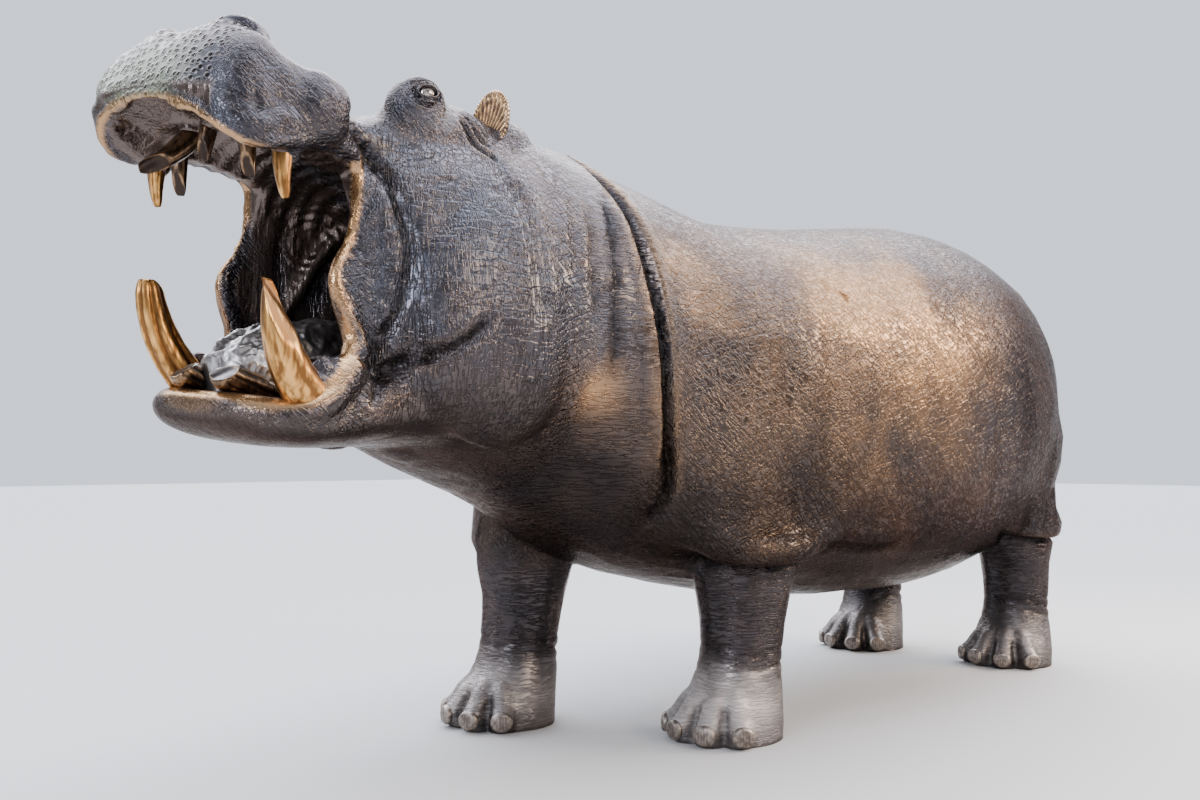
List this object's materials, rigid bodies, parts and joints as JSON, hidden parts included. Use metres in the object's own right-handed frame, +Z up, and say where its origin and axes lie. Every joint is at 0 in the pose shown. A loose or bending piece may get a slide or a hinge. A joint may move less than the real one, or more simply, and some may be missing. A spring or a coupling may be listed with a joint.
{
  "type": "bronze hippopotamus statue",
  "caption": "Life-size bronze statue of a gaping hippopotamus, standing square with its head turned a little left, tusks, teeth and wrinkled tongue showing in the open mouth.",
  "frame": {"origin": "on the ground under the middle of the whole figure's bounding box", "axes": "+Z up; the animal faces -X, its left side is towards -Y and its tail towards +X"},
  "size_m": [3.9874, 1.256, 1.7491],
  "materials": {
    "hide": "hollow-cast bronze, brown patina, waxed, wrinkle texture",
    "teeth": "cast bronze, patina rubbed through to warm gold",
    "ears": "cast bronze, brown patina rubbed lighter on the ribs",
    "eyes": "cast bronze, smooth, waxed",
    "tongue": "cast bronze, dark patina, deeply wrinkled, shiny",
    "nails": "cast bronze, dusty brown patina, lightly rubbed"
  },
  "bodies": {
    "root": {"ear_left": "ears", "ear_right": "ears", "eye_left": "eyes", "eye_right": "eyes", "foot_fore_left": "hide", "foot_fore_right": "hide", "foot_hind_left": "hide", "foot_hind_right": "hide", "head": "hide", "leg_fore_left": "hide", "leg_fore_right": "hide", "leg_hind_left": "hide", "leg_hind_right": "hide", "lower_incisor_left": "teeth", "lower_incisor_right": "teeth", "lower_jaw": "hide", "lower_tusk_left": "teeth", "lower_tusk_right": "teeth", "nail_fore_left_1": "nails", "nail_fore_left_2": "nails", "nail_fore_left_3": "nails", "nail_fore_left_4": "nails", "nail_fore_right_1": "nails", "nail_fore_right_2": "nails", "nail_fore_right_3": "nails", "nail_fore_right_4": "nails", "nail_hind_left_1": "nails", "nail_hind_left_2": "nails", "nail_hind_left_3": "nails", "nail_hind_left_4": "nails", "nail_hind_right_1": "nails", "nail_hind_right_2": "nails", "nail_hind_right_3": "nails", "nail_hind_right_4": "nails", "neck": "hide", "tail": "hide", "tongue": "tongue", "trunk": "hide", "upper_canine_left": "teeth", "upper_canine_right": "teeth", "upper_inner_incisor_left": "teeth", "upper_inner_incisor_right": "teeth", "upper_outer_incisor_left": "teeth", "upper_outer_incisor_right": "teeth"}
  },
  "joints": []
}
